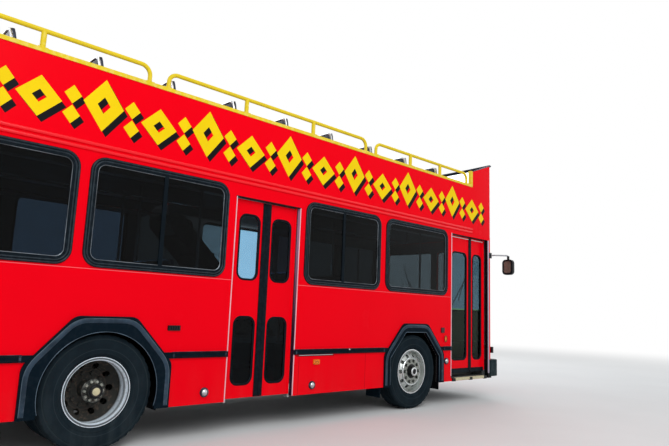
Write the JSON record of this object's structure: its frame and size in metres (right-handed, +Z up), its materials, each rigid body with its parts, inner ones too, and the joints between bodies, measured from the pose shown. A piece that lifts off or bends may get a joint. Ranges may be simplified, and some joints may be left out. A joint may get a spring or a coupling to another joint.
{
  "type": "open top double decker bus",
  "caption": "Sightseeing bus with an open upper deck behind red parapets and yellow rails, glazed lower deck, two doors, twin rear wheels.",
  "frame": {"origin": "on the ground, midway between the bumpers and the sides", "axes": "+X forward, +Y to the bus's left, +Z up"},
  "size_m": [9.35, 3.13, 3.8449],
  "materials": {
    "body_red": "gloss",
    "yellow_trim": "gloss",
    "deck_grey": "satin",
    "floor_grey": "matte",
    "steel": "satin",
    "black_paint": "matte",
    "rubber": "matte",
    "cast_iron": "rough",
    "black_plastic": "matte",
    "tinted_glass": "gloss",
    "seat_plastic": "gloss",
    "seat_fabric": "matte",
    "lamp_lens": "gloss",
    "chrome": "polished",
    "tyre": "matte",
    "polished_wheel": "polished",
    "rusty_wheel": "rusty"
  },
  "bodies": {
    "root": {"side_right": "body_red", "side_left": "body_red", "front_wall": "body_red", "rear_wall": "body_red", "parapet_sides": "body_red", "parapet_front": "body_red", "parapet_rear": "body_red", "parapet_caps": "yellow_trim", "guard_rails": "yellow_trim", "upper_deck": "deck_grey", "floor_lower": "floor_grey", "stepwells": "floor_grey", "door_pivots": "steel", "wheel_liners": "black_paint", "chassis": "black_paint", "front_axle": "black_paint", "rear_axle": "black_paint", "air_springs": "rubber", "engine_block": "cast_iron", "window_frames": "rubber", "rubber_trims": "rubber", "bumpers": "black_plastic", "window_panes": "tinted_glass", "seats_upper": "seat_plastic", "seats_lower": "seat_fabric", "stairs": "floor_grey", "dashboard": "black_plastic", "steering_wheel": "black_plastic", "grab_poles": "steel", "mirrors": "black_plastic", "lamps": "lamp_lens", "side_caps": "chrome"},
    "knuckle_left": {"knuckle_left": "cast_iron"},
    "knuckle_right": {"knuckle_right": "cast_iron"},
    "tie_rod": {"tie_rod": "cast_iron"},
    "front_wheel_left": {"tyre_front_left": "tyre", "wheel_front_left": "polished_wheel"},
    "front_wheel_right": {"tyre_front_right": "tyre", "wheel_front_right": "polished_wheel"},
    "rear_wheels_left": {"tyres_rear_left": "tyre", "wheels_rear_left": "rusty_wheel"},
    "rear_wheels_right": {"tyres_rear_right": "tyre", "wheels_rear_right": "rusty_wheel"},
    "mid_leaf_rear": {"mid_door_rear": "body_red", "mid_door_rear_glass": "tinted_glass"},
    "mid_leaf_front": {"mid_door_front": "body_red", "mid_door_front_glass": "tinted_glass"},
    "front_leaf_rear": {"front_door_rear": "body_red", "front_door_rear_glass": "tinted_glass"},
    "front_leaf_front": {"front_door_front": "body_red", "front_door_front_glass": "tinted_glass"},
    "engine_door": {"engine_door": "body_red"}
  },
  "joints": [
    {"name": "steering", "type": "hinge", "parent": "root", "child": "knuckle_left", "pos_m": [2.51, 0.895, 0.5], "axis": [0, 0, 1], "range_deg": [-40, 40]},
    {"name": "steering_right", "type": "hinge", "parent": "root", "child": "knuckle_right", "pos_m": [2.51, -0.895, 0.5], "axis": [0, 0, 1], "range_deg": [-40, 40]},
    {"name": "tie_rod_pivot", "type": "hinge", "parent": "knuckle_left", "child": "tie_rod", "pos_m": [2.29, 0.895, 0.4], "axis": [0, 0, 1], "range_deg": [-40, 40]},
    {"name": "front_wheel_left_spin", "type": "hinge", "parent": "knuckle_left", "child": "front_wheel_left", "pos_m": [2.51, 1.055, 0.5], "axis": [0, 1, 0], "continuous": true},
    {"name": "front_wheel_right_spin", "type": "hinge", "parent": "knuckle_right", "child": "front_wheel_right", "pos_m": [2.51, -1.055, 0.5], "axis": [0, 1, 0], "continuous": true},
    {"name": "rear_wheels_left_spin", "type": "hinge", "parent": "root", "child": "rear_wheels_left", "pos_m": [-1.86, 0.8875, 0.5], "axis": [0, 1, 0], "continuous": true},
    {"name": "rear_wheels_right_spin", "type": "hinge", "parent": "root", "child": "rear_wheels_right", "pos_m": [-1.86, -0.8875, 0.5], "axis": [0, 1, 0], "continuous": true},
    {"name": "mid_door_rear_swing", "type": "hinge", "parent": "root", "child": "mid_leaf_rear", "pos_m": [-0.555, -1.17, 1.4], "axis": [0, 0, -1], "range_deg": [0, 88]},
    {"name": "mid_door_front_swing", "type": "hinge", "parent": "root", "child": "mid_leaf_front", "pos_m": [0.285, -1.17, 1.4], "axis": [0, 0, 1], "range_deg": [0, 88]},
    {"name": "front_door_rear_swing", "type": "hinge", "parent": "root", "child": "front_leaf_rear", "pos_m": [3.392, -1.14, 1.4], "axis": [0, 0, -1], "range_deg": [0, 88]},
    {"name": "front_door_front_swing", "type": "hinge", "parent": "root", "child": "front_leaf_front", "pos_m": [4.376, -1.14, 1.4], "axis": [0, 0, 1], "range_deg": [0, 88]},
    {"name": "engine_door_lift", "type": "hinge", "parent": "root", "child": "engine_door", "pos_m": [-4.592, 0, 1.334], "axis": [0, 1, 0], "range_deg": [0, 80]}
  ],
  "couplings": [
    {"joint": "steering_right", "follows": "steering", "ratio": 1},
    {"joint": "tie_rod_pivot", "follows": "steering", "ratio": -1},
    {"joint": "mid_door_front_swing", "follows": "mid_door_rear_swing", "ratio": 1},
    {"joint": "front_door_front_swing", "follows": "front_door_rear_swing", "ratio": 1}
  ]
}
